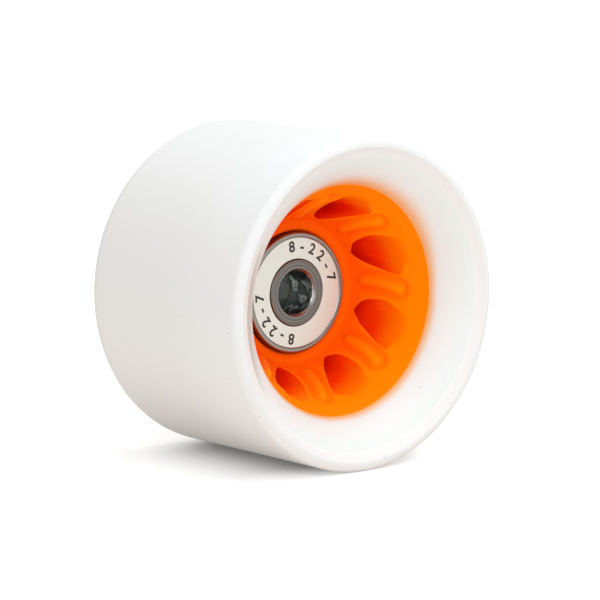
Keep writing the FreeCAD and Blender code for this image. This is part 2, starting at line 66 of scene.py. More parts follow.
class WheelSizes(bpy.types.PropertyGroup):
    """Sizes of the tyre and the core."""

    def length(name, description, size):
        return bpy.props.FloatProperty(
            name=name, description=description, default=size, subtype="DISTANCE", unit="LENGTH", precision=5
        )

    tread: length("Tread", "Radius of the tread", TYRE_BOX[1].x)
    half_width: length("Half width", "From the middle to the front or rear plane", TYRE_BOX[1].y)
    front_corner: length("Front corner", "Radius of the tread's front edge", 1.5 * MM)
    rear_corner: length("Rear corner", "Radius of the tread's rear edge", 4.4 * MM)
    lip_land: length("Lip land", "Flat ring beside the front edge", 0.3 * MM)
    crest_inset: length("Crest inset", "Crease between lip and dish, inside the tread", 3.7 * MM)
    crest_depth: length("Crest depth", "Crease below the front plane", 1.34 * MM)
    crest_pull: length("Crest pull", "How far the dish keeps its lean at the crease", 2.7 * MM)
    rim_pull: length("Rim pull", "How far the dish keeps its lean at the core", 2.7 * MM)
    rim: length("Rim", "Radius of the core's front edge", 20.87 * MM)
    rim_depth: length("Rim depth", "Core's front edge below the front plane", 7.25 * MM)
    core_outside: length("Core outside", "Radius of the core under the tyre", 22.3 * MM)
    anchor_height: length("Anchor height", "Locking ribs above the core's outside", 1.2 * MM)
    anchor_width: length("Anchor width", "Locking ribs along the axis", 3.0 * MM)
    boss: length("Boss", "Radius of the flat ring round the front bearing", 13.0 * MM)
    boss_face: length("Boss face", "Place of that flat ring along the axis", -1.2 * MM)
    boss_round: length("Boss round", "Rounding from the flat ring into the cone", 2.1 * MM)
    boss_bevel: length("Boss bevel", "Gap beside the bearing, at the boss's face", 0.5 * MM)
    seat: length("Seat", "Radius of the bearing seats", 11.0 * MM)
    shoulder: length("Shoulder", "Radius inside the bearing shoulders", 9.6 * MM)
    front_shoulder: length("Front shoulder", "Place of the front shoulder", 4.8 * MM)
    rear_shoulder: length("Rear shoulder", "Place of the rear shoulder", 14.8 * MM)
    core_rear: length("Core rear", "Place of the core's rear face", 20.8 * MM)
    pocket_floor: length("Pocket floor", "Place of the front pockets' floors", 4.0 * MM)
    rear_floor: length("Rear floor", "Place of the rear pockets' floors", 7.3 * MM)
    ridge_height: length("Ridge height", "Raised oval above a spoke", 0.56 * MM)
    trough_depth: length("Trough depth", "Trough round a raised oval", 0.46 * MM)


class WheelColours(bpy.types.PropertyGroup):
    """Colours of the wheel's finishes, some of them painted light and shade."""

    def colour(name, description, shade):
        return bpy.props.FloatVectorProperty(
            name=name, description=description, default=shade, subtype="COLOR", size=3, min=0, max=1
        )

    urethane: colour("Urethane", "Cast tyre", (0.84, 0.85, 0.85))
    glow: colour("Glow", "Tyre where the core shines through its thin edge", (0.86, 0.4, 0.09))
    # Painted light: the tread a little lighter and cooler towards its front edge.
    lip: colour("Lip", "Cast tyre's tread towards its front edge", (0.845, 0.86, 0.87))
    # Painted shade: the front band darker than the rest of the tyre.
    band: colour("Band", "Cast tyre from its front edge to the crease", (0.80, 0.83, 0.845))
    # Dish tone painted cooler to cancel the orange light that the core bounces onto it.
    dish: colour("Dish", "Cast tyre inside its crease", (0.80, 0.865, 0.875))
    # Painted shade in the crease where the dish begins.
    crease: colour("Crease", "Cast tyre where the dish begins", (0.5, 0.47, 0.43))
    nylon: colour("Nylon", "Moulded core at its rim", (1.0, 0.265, 0.0))
    # Painted shade: redder nylon beside the boss, in the troughs and down in the pockets.
    nylon_shade: colour("Deep nylon", "Moulded core beside the boss and in the pockets", (1.0, 0.065, 0.0))
    # Painted shade: dark red nylon near the pockets' floors.
    nylon_floor_shade: colour("Sunk nylon", "Moulded core near the pockets' floors", (0.9, 0.015, 0.0))
    steel: colour("Steel", "Outer rings of the bearings", (0.34, 0.335, 0.32))
    # Painted shade: the inner rings take a darker tone of the same steel.
    inner_steel_shade: colour("Inner steel", "Inner rings of the bearings", (0.21, 0.21, 0.205))
    plate: colour("Seal plate", "Satin steel seals", (0.78, 0.865, 0.84))
    ink: colour("Ink", "Printed size numbers", (0.03, 0.028, 0.027))
    ball: colour("Ball", "Polished balls of the bearings", (0.7, 0.7, 0.7))
    spacer: colour("Spacer", "Metal tube between the bearings", (0.5, 0.51, 0.52))
    rubber: colour("Rubber", "Moulded lips of the seals", (0.02, 0.02, 0.02))
    cage: colour("Cage", "Black nylon cages of the bearings", (0.03, 0.03, 0.03))


def sizes():
    """Return the sizes that the sidebar holds."""
    return bpy.context.scene.wheel_sizes


def colours():
    """Return the colours that the sidebar holds."""
    return bpy.context.scene.wheel_colours


class Worth:
    """A shader socket that takes part in sums."""

    def __init__(self, finish, socket):
        self.finish = finish
        self.socket = socket

    def math(self, operation, *terms, **settings):
        return self.finish.node("Math", {"operation": operation, **settings}, dict(enumerate(terms)))

    def __add__(self, other):
        return self.math("ADD", self, other)

    def __sub__(self, other):
        return self.math("SUBTRACT", self, other)

    def __rsub__(self, other):
        return self.math("SUBTRACT", other, self)

    def __mul__(self, other):
        return self.math("MULTIPLY", self, other)

    def __pow__(self, other):
        return self.math("POWER", self, other)

    def __gt__(self, other):
        return self.math("GREATER_THAN", self, other)

    def absolute(self):
        return self.math("ABSOLUTE", self)

    def at_least(self, other):
        return self.math("MAXIMUM", self, other)

    def at_most(self, other):
        return self.math("MINIMUM", self, other)

    def clamped(self):
        return self.math("ADD", self, 0.0, use_clamp=True)

    def between(self, low, high):
        """Return low where this is 0, and high where it is 1."""
        return self * (high - low) + low

    def output(self, name):
        """Return another output of the same node."""
        return Worth(self.finish, self.socket.node.outputs[name])


# Sockets of the Mix node that work on colours.
MIX_FACTOR, MIX_FIRST, MIX_SECOND, MIX_RESULT = 0, 6, 7, 2


class Finish:
    """A material and the nodes that paint it."""

    def __init__(self, name, tree=None):
        if tree is None:
            self.material = bpy.data.materials.new(name)
            self.material.use_nodes = True
            tree = self.material.node_tree
        self.tree = tree
        self.tree.nodes.clear()

    def node(self, kind, settings=None, inputs=None, output=0):
        """Add a node: its settings first, then the values or links of its sockets."""
        node = self.tree.nodes.new("ShaderNode" + kind)
        for key, value in (settings or {}).items():
            if key == "stops":
                self.set_stops(node.color_ramp, value)
            else:
                setattr(node, key, value)
        for key, value in (inputs or {}).items():
            if isinstance(value, Worth):
                self.tree.links.new(value.socket, node.inputs[key])
            else:
                node.inputs[key].default_value = value
        return Worth(self, node.outputs[output])

    def set_stops(self, ramp, stops):
        """Give a ramp its stops, each a position and a colour."""
        while len(ramp.elements) < len(stops):
            ramp.elements.new(0.5)
        for element, (position, colour) in zip(ramp.elements, stops):
            element.position = position
            element.color = colour

    def place(self):
        """Return the object's own coordinates."""
        return self.node("TexCoord", output="Object")

    def apart(self, where):
        """Return x, y and z of a place, and its distance from the wheel's axis."""
        parts = self.node("SeparateXYZ", inputs={"Vector": where})
        x, y, z = (parts.output(axis) for axis in "XYZ")
        return x, y, z, (x * x + z * z) ** 0.5

    def ease(self, value, low, high):
        """Return 0 below low and 1 above high, with a smooth step between."""
        return self.node("MapRange", {"interpolation_type": "SMOOTHSTEP"},
                         {"Value": value, "From Min": low, "From Max": high})

    def noise(self, where, scale, detail=2.0, roughness=0.5):
        """Return a noise from 0 to 1 at so many waves a metre."""
        return self.node("TexNoise", inputs={
            "Vector": where, "Scale": scale, "Detail": detail, "Roughness": roughness})

    def mix(self, factor, first, second, blend="MIX"):
        """Mix two colours."""
        return self.node("Mix", {"data_type": "RGBA", "blend_type": blend},
                         {MIX_FACTOR: factor, MIX_FIRST: first, MIX_SECOND: second}, output=MIX_RESULT)

    def bump(self, height, distance, strength=1.0):
        """Return a normal that follows a height given in parts of a distance."""
        return self.node("Bump", inputs={"Height": height, "Distance": distance, "Strength": strength})

    def surface(self, **inputs):
        """Add the shader with its inputs, where _ stands for a space, and the output."""
        spelled = {key.replace("_", " "): value for key, value in inputs.items()}
        self.end(self.node("BsdfPrincipled", inputs=spelled))
        return self.material

    def end(self, shader, kind="Material"):
        """Link a shader to the output."""
        output = self.tree.nodes.new("ShaderNodeOutput" + kind)
        self.tree.links.new(shader.socket, output.inputs["Surface"])


def solid(shade):
    """Return a colour with its alpha."""
    return (*shade, 1.0)


def darker(shade, share):
    """Return a darker tone of a colour, with its alpha."""
    return solid(tuple(channel * share for channel in shade))


# Each blend of painted light or shade on the tyre has a start and an end. The first two lie along the axis:
# the tread painted lighter towards the front, and the front band painted darker. The next three count from
# the crease's radius: the dish painted cooler against the orange light that the core bounces onto it, and
# the painted shade at the crease. The last lies across the wheel: the side where that painted shade is
# strongest.
LIP_LIGHT_BLEND = (-17.0 * MM, -1.0 * MM)
BAND_SHADE_BLEND = (-22.0 * MM, -20.4 * MM)
DISH_BOUNCE_TINT_BLEND = (-0.2 * MM, 0.9 * MM)
CREASE_SHADE_START = (-4.0 * MM, -0.6 * MM)
CREASE_SHADE_END = (-0.05 * MM, 0.3 * MM)
SHADED_SIDE = (-25.5 * MM, -21.0 * MM)
# Painted shade at the crease: its share all round the front, and on the -X side.
SHADE_ALL_ROUND, SHADE_ON_SIDE = 0.06, 0.81
# The glow round the core starts beside its rim, reaches further out high on the wheel and has a ragged end.
GLOW_START = 0.05 * MM
GLOW_LOW, GLOW_HIGH = 2.6 * MM, 5.5 * MM
GLOW_HEIGHTS = (0.0, 18.0 * MM)
GLOW_RAGGED = 0.35 * MM
GLOW_FALL, GLOW_STRENGTH = 2.0, 0.9
# Dust specks: one in some of the cells of a pattern, with cells to the metre and sizes in parts of a cell.
SPECK_CELLS = 500.0
SPECK_RARITY = 0.86
SPECK_EDGE = (0.04, 0.09)
SPECK_STRENGTH = 0.75
SPECK_SHADE = (0.33, 0.30, 0.27, 1.0)


def urethane_finish():
    """Cast urethane: satin white, dusted with specks, lit through by the core where it thins out. Light and
    shade are painted on it: the tread lighter towards the front, the front band darker, the dish cooler
    against the core's orange bounce light, and shade at the crease.
    """
    size, shades = sizes(), colours()
    finish = Finish("urethane")
    where = finish.place()
    x, y, z, radius = finish.apart(where)
    cloud = finish.noise(where, scale=55.0, detail=4.0, roughness=0.6)
    white = finish.mix(cloud, darker(shades.urethane, share=0.975), solid(shades.urethane))
    # Painted light and shade: the tread lighter towards the front, the front band darker, and the dish
    # cooler against the core's orange bounce light.
    white = finish.mix(1 - finish.ease(y, *LIP_LIGHT_BLEND), white, solid(shades.lip))
    white = finish.mix(1 - finish.ease(y, *BAND_SHADE_BLEND), white, solid(shades.band))
    past_crease = radius - (size.tread - size.crest_inset)
    white = finish.mix(1 - finish.ease(past_crease, *DISH_BOUNCE_TINT_BLEND), white, solid(shades.dish))
    front_half = 1 - (y > 0.0)
    # Painted shade at the crease, faint all round the front and strong on the -X side.
    crease_shade = finish.ease(past_crease, *CREASE_SHADE_START) * (1 - finish.ease(past_crease, *CREASE_SHADE_END))
    shaded_side = 1 - finish.ease(x, *SHADED_SIDE)
    share = crease_shade * front_half * shaded_side.between(SHADE_ALL_ROUND, SHADE_ON_SIDE)
    white = finish.mix(share, white, solid(shades.crease))
    across = radius - size.rim
    along = y - (size.rim_depth - size.half_width)
    away = (across * across + along * along) ** 0.5
    ragged = away + (finish.noise(where, scale=420.0) - 0.5) * GLOW_RAGGED
    reach = finish.ease(z, *GLOW_HEIGHTS).between(GLOW_LOW, GLOW_HIGH)
    halo = (1 - finish.ease(ragged, GLOW_START, reach)) ** GLOW_FALL
    shone = finish.mix(halo * front_half * GLOW_STRENGTH, white, solid(shades.glow))
    cells = finish.node("TexVoronoi", {"feature": "F1"}, {"Vector": where, "Scale": SPECK_CELLS}, "Distance")
    chance = finish.node("SeparateColor", inputs={"Color": cells.output("Color")}, output="Red")
    speck = (1 - finish.ease(cells, *SPECK_EDGE)) * (chance > SPECK_RARITY)
    dusted = finish.mix(speck * SPECK_STRENGTH, shone, SPECK_SHADE)
    grain = finish.noise(where, scale=900.0, detail=3.0, roughness=0.55)
    wave = finish.noise(where, scale=160.0)
    normal = finish.bump(grain * 0.25 + wave, distance=0.03 * MM, strength=0.8)
    return finish.surface(Base_Color=dusted, Roughness=cloud.between(0.42, 0.52), Normal=normal,
                          IOR=1.49, Specular_IOR_Level=0.35)


# Each painted shade on the core blends between a start and an end. The shade beside the boss counts from the
# radius of the boss and of the rim. The next three count down from the cone: the shade in the troughs with a
# painted highlight on the raised ovals, the shade down in the pockets, and the darker shade near their
# floors. The last, the shade deeper in the rear pockets, counts from the rear face.
BOSS_SHADE_BLEND = (-1.0 * MM, -1.2 * MM)
RELIEF_SHADE_BLEND = (-1.0 * MM, 1.0 * MM)
SUNK_SHADE_BLEND = (1.0 * MM, 9.0 * MM)
FLOOR_SHADE_BLEND = (5.0 * MM, 14.0 * MM)
REAR_SHADE_BLEND = (0.3 * MM, 9.0 * MM)
BOSS_SHADE_STRENGTH, RELIEF_SHADE_STRENGTH, REAR_SHADE_STRENGTH = 0.85, 0.4, 0.8
# Light that the orange nylon sends back redder than its colour allows: the sheen tints its reflections, and
# the painted glow is a faint red light that the whole core gives off, standing in for light shining through
# the nylon.
NYLON_SHEEN = (1.0, 0.4, 0.1, 1.0)
NYLON_PAINTED_GLOW = (1.0, 0.02, 0.0, 1.0)


def cone_rise(size):
    """Return how much the cone moves to the front for each step towards the axis."""
    return (size.boss_face - (size.rim_depth - size.half_width)) / (size.rim - size.boss)


def nylon_finish():
    """Moulded nylon: fluorescent orange, with painted shade that makes it redder beside the boss, in the
    troughs and down in the pockets, a painted highlight on the raised ovals, and a faint painted red glow.
    """
    size, shades = sizes(), colours()
    finish = Finish("orange_nylon")
    where = finish.place()
    _, y, _, radius = finish.apart(where)
    rise = cone_rise(size)
    depth = y - (size.boss_face + size.boss * rise - radius * rise)
    cloud = finish.noise(where, scale=90.0, detail=3.0)
    red, green, blue = shades.nylon
    paler = finish.mix(cloud, solid((red * 0.98, green * 0.93, blue)), solid(shades.nylon))
    # Painted shade: redder beside the boss, in the troughs, down in the pockets and deeper in the rear
    # pockets; painted highlight on the raised ovals.
    boss_shade = 1 - finish.ease(radius, size.boss + BOSS_SHADE_BLEND[0], size.rim + BOSS_SHADE_BLEND[1])
    relief = finish.ease(depth, *RELIEF_SHADE_BLEND) - 0.5
    behind = y > (size.pocket_floor + size.rear_floor) / 2
    deep = (boss_shade * BOSS_SHADE_STRENGTH + relief * RELIEF_SHADE_STRENGTH + finish.ease(depth, *SUNK_SHADE_BLEND)).clamped()
    rear = finish.ease(size.core_rear - y, *REAR_SHADE_BLEND) * behind
    base = finish.mix(deep * (1 - behind) + rear * REAR_SHADE_STRENGTH, paler, solid(shades.nylon_shade))
    # Painted shade: dark red near the pockets' floors.
    base = finish.mix(finish.ease(depth, *FLOOR_SHADE_BLEND) * (1 - behind), base, solid(shades.nylon_floor_shade))
    normal = finish.bump(finish.noise(where, scale=1400.0), distance=0.012 * MM, strength=0.6)
    return finish.surface(Base_Color=base, Roughness=cloud.between(0.46, 0.54), Normal=normal, IOR=1.53,
                          Specular_IOR_Level=0.1, Specular_Tint=NYLON_SHEEN,
                          Emission_Color=NYLON_PAINTED_GLOW, Emission_Strength=0.04)


# Turned grooves on the faces of the bearing rings: radius and half width.
GROOVES = ((5.0 * MM, 0.09 * MM), (5.62 * MM, 0.07 * MM), (10.22 * MM, 0.08 * MM))
GROOVE_SHADE, GROOVE_STRENGTH = (0.03, 0.03, 0.03, 1.0), 0.75
# Radius between the inner and the outer ring of a bearing, and just outside the bore.
RING_SPLIT, BORE_SKIN = 7.0 * MM, 4.06 * MM
# Painted reflections in the bore: dark tones, a teal streak and a white highlight, by the height of a noise.
BORE_REFLECTION_TONES = (
    (0.0, (0.1, 0.105, 0.105, 1.0)), (0.4, (0.27, 0.28, 0.275, 1.0)), (0.5, (0.12, 0.18, 0.18, 1.0)),
    (0.57, (1.0, 1.0, 0.98, 1.0)), (0.62, (0.27, 0.27, 0.26, 1.0)), (1.0, (0.08, 0.08, 0.08, 1.0)),
)


def steel_finish(name, shade, rough, lines, grooves=(), inner=None):
    """Ground steel with fine lines round the axis, dark grooves on its faces, painted shade on the inner
    rings and painted reflections in its bore.
    """
    finish = Finish(name)
    where = finish.place()
    _, y, _, radius = finish.apart(where)
    rings = finish.node("CombineXYZ", inputs={"X": radius, "Y": y, "Z": 0.0})
    turned_lines = finish.noise(rings, scale=9000.0)
    cloud = finish.noise(where, scale=300.0, detail=3.0)
    base = finish.mix(turned_lines, darker(shade, share=0.86), solid(shade))
    # Painted shade: a darker tone of the same steel on the inner rings.
    if inner:
        base = finish.mix(radius > RING_SPLIT, solid(inner), base)
    for groove, half in grooves:
        beside = (radius - groove).absolute()
        groove_share = (1 - finish.ease(beside, half / 2, half)) * GROOVE_STRENGTH
        base = finish.mix(groove_share, base, GROOVE_SHADE)
    # Painted reflections in the bore, dark with a teal streak and a white highlight.
    reflection_noise = finish.noise(where, scale=240.0, roughness=0.55)
    bore_reflection = finish.node("ValToRGB", {"stops": BORE_REFLECTION_TONES}, {0: reflection_noise})
    base = finish.mix(1 - (radius > BORE_SKIN), base, bore_reflection)
    normal = finish.bump(turned_lines, distance=lines, strength=0.7)
    roughness = cloud.between(rough, rough + 0.08)
    return finish.surface(Base_Color=base, Metallic=1.0, Roughness=roughness, Normal=normal)


def plate_finish():
    """Seal plate: pale satin steel."""
    shade = colours().plate
    finish = Finish("seal_metal")
    where = finish.place()
    radius = finish.apart(where)[-1]
    rings = finish.node("CombineXYZ", inputs={"X": radius, "Y": 0.0, "Z": 0.0})
    brushed = finish.noise(rings, scale=5000.0)
    cloud = finish.noise(where, scale=260.0, detail=3.0)
    base = finish.mix(brushed * 0.5 + cloud * 0.5, darker(shade, share=0.93), solid(shade))
    normal = finish.bump(brushed, distance=0.004 * MM, strength=0.6)
    return finish.surface(Base_Color=base, Metallic=0.85, Roughness=cloud.between(0.3, 0.4), Normal=normal)


def dull_finish(name, shade, rough, scale):
    """Plain moulded or printed finish with a fine uneven skin."""
    finish = Finish(name)
    cloud = finish.noise(finish.place(), scale=scale, detail=3.0)
    base = finish.mix(cloud, darker(shade, share=0.8), solid(shade))
    normal = finish.bump(cloud, distance=0.01 * MM, strength=0.5)
    return finish.surface(Base_Color=base, Roughness=cloud.between(rough, rough + 0.1), Normal=normal)


def finished(name, bm, body, material, replaced, smooth=30):
    """Turn a bmesh into a piece that rides a body. Edges up to smooth degrees are shaded as one surface."""
    bmesh.ops.remove_doubles(bm, verts=bm.verts, dist=MERGED)
    bmesh.ops.recalc_face_normals(bm, faces=bm.faces)
    mesh = bpy.data.meshes.new(name)
    bm.to_mesh(mesh)
    bm.free()
    mesh.shade_smooth()
    mesh.set_sharp_from_angle(angle=radians(smooth))
    mesh.materials.append(material)
    piece = bpy.data.objects.new(name, mesh)
    bpy.context.collection.objects.link(piece)
    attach(piece, body)
    if replaced:
        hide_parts(*replaced)


def rounded(corners, steps=2, closed=True):
    """Return the points of an outline whose corners are radius, place along the axis and rounding."""
    points = []
    count = len(corners)
    for i, (radius, place, bend) in enumerate(corners):
        corner = Vector((radius, place))
        if not bend or (not closed and i in (0, count - 1)):
            points.append(corner)
            continue
        back = (Vector(corners[i - 1][:2]) - corner).normalized()
        ahead = (Vector(corners[(i + 1) % count][:2]) - corner).normalized()
        half = back.angle(ahead) / 2
        middle = corner + (back + ahead).normalized() * (bend / sin(half))
        start = corner + back * (bend / tan(half)) - middle
        end = corner + ahead * (bend / tan(half)) - middle
        first = atan2(start.y, start.x)
        sweep = (atan2(end.y, end.x) - first + pi) % (2 * pi) - pi
        for step in range(steps + 1):
            angle = first + sweep * step / steps
            points.append(middle + Vector((cos(angle), sin(angle))) * bend)
    return points


def turn(bm, points, steps, start=0.0, closed=True):
    """Turn an outline, radius and place along the axis, round the wheel's axis."""
    verts = [bm.verts.new((radius * cos(start), place, radius * sin(start))) for radius, place in points]
    ahead = verts[1:] + verts[:1] if closed else verts[1:]
    edges = [bm.edges.new(pair) for pair in zip(verts, ahead)]
    bmesh.ops.spin(bm, geom=verts + edges, cent=(0, 0, 0), axis=(0, 1, 0), angle=2 * pi, steps=steps,
                   use_merge=True)


def interface():
    """Return the core's outside under the tyre, front to rear, with its locking ribs."""
    size = sizes()
    ribs = 3
    front = size.rim_depth - size.half_width
    step = (size.core_rear - front) / (ribs + 1)
    low = size.core_outside
    high = low + size.anchor_height
    half = size.anchor_width / 2
    points = [(size.rim, front, 0), (low, front, 0)]
    for rib in range(1, ribs + 1):
        start, end = front + step * rib - half, front + step * rib + half
        points += [(low, start, 0), (high, start, 0), (high, end, 0), (low, end, 0)]
    return points + [(low, size.core_rear, 0)]


# Lean of the dish against the axis, at the crease and at the core.
DISH_LEANS = (radians(62), radians(30))
# Small roundings of the tyre's rear bore and of its lip.
SMALL_ROUND = 0.25 * MM


class WHEEL_OT_tyre(bpy.types.Operator):
    """Cast the white tyre with its deep dish"""

    bl_idname = "wheel.tyre"
    bl_label = "Tyre"

    def execute(self, context):
        size = sizes()
        front = -size.half_width
        lip = size.tread - size.front_corner - size.lip_land
        corners = interface() + [
            (size.core_outside, size.half_width, SMALL_ROUND),
            (size.tread, size.half_width, size.rear_corner),
            (size.tread, front, size.front_corner),
            (lip, front, SMALL_ROUND),
        ]
        corners += [(radius, place, 0) for radius, place in self.dish(size, front)]
        bm = bmesh.new()
        turn(bm, rounded(corners, steps=8), steps=320)
        finished("tyre_cast", bm, "wheel", urethane_finish(), ["tyre"], smooth=40)
        return {"FINISHED"}

    def dish(self, size, front, steps=16):
        """Return the bell-shaped dish from the crease to just before the core's rim."""
        crest = Vector((size.tread - size.crest_inset, front + size.crest_depth))
        rim = Vector((size.rim, front + size.rim_depth))
        lean_out, lean_in = DISH_LEANS
        second = crest + Vector((-sin(lean_out), cos(lean_out))) * size.crest_pull
        third = rim + Vector((sin(lean_in), -cos(lean_in))) * size.rim_pull
        points = []
        for step in range(steps):
            t = step / steps
            points.append(crest * (1 - t) ** 3 + second * (3 * t * (1 - t) ** 2)
                          + third * (3 * t * t * (1 - t)) + rim * t ** 3)
        return points


# Middle line of a raised oval: radius in mm, and degrees past the middle between two pockets.
RIDGE_LINE = (
    (13.0, 3.6), (13.5, 3.8), (14.6, 4.3), (16.0, 3.2), (17.4, 0.5), (18.5, -2.4), (19.4, -4.3),
    (20.87, -5.0),
)
# Radii in mm at which a raised oval's middle line starts and ends.
RIDGE_ENDS = (14.3, 17.8)
# Slope of a raised oval's side from its middle line, then place and width of the trough round it.
RIDGE_SIDE = (0.3 * MM, 1.4 * MM)
TROUGH_PLACE, TROUGH_WIDTH = 1.6 * MM, 0.5 * MM
# Low lip beside a pocket's sharp edge: height, distance from the edge and width.
LIP_HEIGHT, LIP_PLACE, LIP_WIDTH = 0.1 * MM, 0.42 * MM, 0.34 * MM
# The relief fades in past the boss and out before the rim.
BOSS_FADE = (0.0, 0.8 * MM)
RIM_FADE = (-1.2 * MM, -0.2 * MM)
# Edge of a front pocket: radius in mm, and degrees from the pocket's middle.
POCKET_EDGE = (
    (13.95, 5.3), (14.35, 10.5), (14.9, 13.0), (15.9, 14.2), (16.9, 13.5), (17.6, 11.2), (18.15, 7.4),
    (18.45, 1.5), (18.5, -5.0), (18.45, -10.8), (18.2, -14.1), (17.95, -14.4), (17.0, -12.4), (16.0, -9.0),
    (15.0, -5.0), (14.45, -1.5), (13.95, 3.0),
)
# Radius of a front pocket's centre, and degrees round it between which the edge turns soft and sharp again.
POCKET_CENTRE = 16.6 * MM
SOFT_RISE, SOFT_FALL = (12, 50), (128, 152)
# A sharp edge's reach along the face, reach down the wall and draft, and what a soft edge has more.
SHARP_EDGE = (0.22 * MM, 0.28 * MM, radians(1.5))
SOFT_GAIN = (1.3 * MM, 6.5 * MM, radians(9.5))
# Rear pockets: inner and outer place, rib between two, their roundings, and their edge as above.
REAR_PLACES = (14.2 * MM, 17.9 * MM)
REAR_RIB = 1.7 * MM
REAR_ROUNDS = (0.9 * MM, 1.1 * MM)
REAR_EDGE = (0.3 * MM, 0.3 * MM, radians(1.5))
FLOOR_ROUND = 0.9 * MM
# Radius at which the flat map of a face keeps lengths round the axis.
FLAT = 16.5 * MM
# Length of cone next to the boss, and width of rear face next to the seat, that are turned with the inside.
BOSS_SLANT, REAR_LAND = 1.35 * MM, 0.4 * MM
# Roundings of the front seat's bevel and of the rear seat's mouth.
SEAT_ROUNDS = (0.2 * MM, 0.15 * MM)
# Parts of a sector's border on the inner and the outer side, of a straight line and of a floor's rounding.
INNER_PARTS, OUTER_PARTS, LINE_PARTS, FLOOR_PARTS = 24, 40, 6, 4


def spline(points, steps, closed):
    """Return points on a smooth curve through the given ones."""
    count = len(points)
    fine = []
    for i in range(count if closed else count - 1):
        ids = [(i + k) % count if closed else min(max(i + k, 0), count - 1) for k in (-1, 0, 1, 2)]
        a, b, c, d = (Vector(points[k]) for k in ids)
        for step in range(steps):
            t = step / steps
            square = 2 * a - 5 * b + 4 * c - d
            cube = 3 * b - a - 3 * c + d
            fine.append(b + ((c - a) * t + square * t ** 2 + cube * t ** 3) / 2)
    return fine if closed else fine + [Vector(points[-1])]


def smoothstep(value, low, high):
    """Return 0 below low, 1 above high and a smooth step between."""
    share = min(max((value - low) / (high - low), 0.0), 1.0)
    return share * share * (3 - 2 * share)


def bell(value, middle, width):
    """Return 1 at the middle and a bell-shaped fall to 0 on both sides."""
    return exp(-((value - middle) / width) ** 2)


def table_reader(rows):
    """Return a function that reads between the rows of a table sorted by its first column."""
    keys = [row[0] for row in rows]

    def read(key):
        i = min(max(bisect_left(keys, key), 1), len(rows) - 1)
        share = min(max((key - keys[i - 1]) / (keys[i] - keys[i - 1]), 0.0), 1.0)
        return rows[i - 1][1] + (rows[i][1] - rows[i - 1][1]) * share

    return read


def reach_round(outline, centre):
    """Return a function that gives an outline's distance from a centre in any direction."""
    rows = sorted((atan2(p.y - centre.y, p.x - centre.x) % (2 * pi), (p - centre).length) for p in outline)
    rows = [(rows[-1][0] - 2 * pi, rows[-1][1])] + rows + [(rows[0][0] + 2 * pi, rows[0][1])]
    read = table_reader(rows)
    return lambda angle: read(angle % (2 * pi))


def ridge_reader(line, slope):
    """Return a function that gives the distance on the cone from the nearest raised oval's middle line."""
    def flatten(radius, angle):
        return Vector((cos(angle * slope), sin(angle * slope))) * (radius / slope)

    runs = []
    for side in (-1, 1):
        points = [flatten(radius * MM, radians(angle) + side * HALF_SECTOR) for radius, angle in line]
        runs += list(zip(points, points[1:]))

    def distance(here, start, end):
        way = end - start
        share = min(max((here - start).dot(way) / way.length_squared, 0.0), 1.0)
        return (here - start - way * share).length

    def read(radius, angle):
        here = flatten(radius, angle)
        return min(distance(here, start, end) for start, end in runs)

    return read


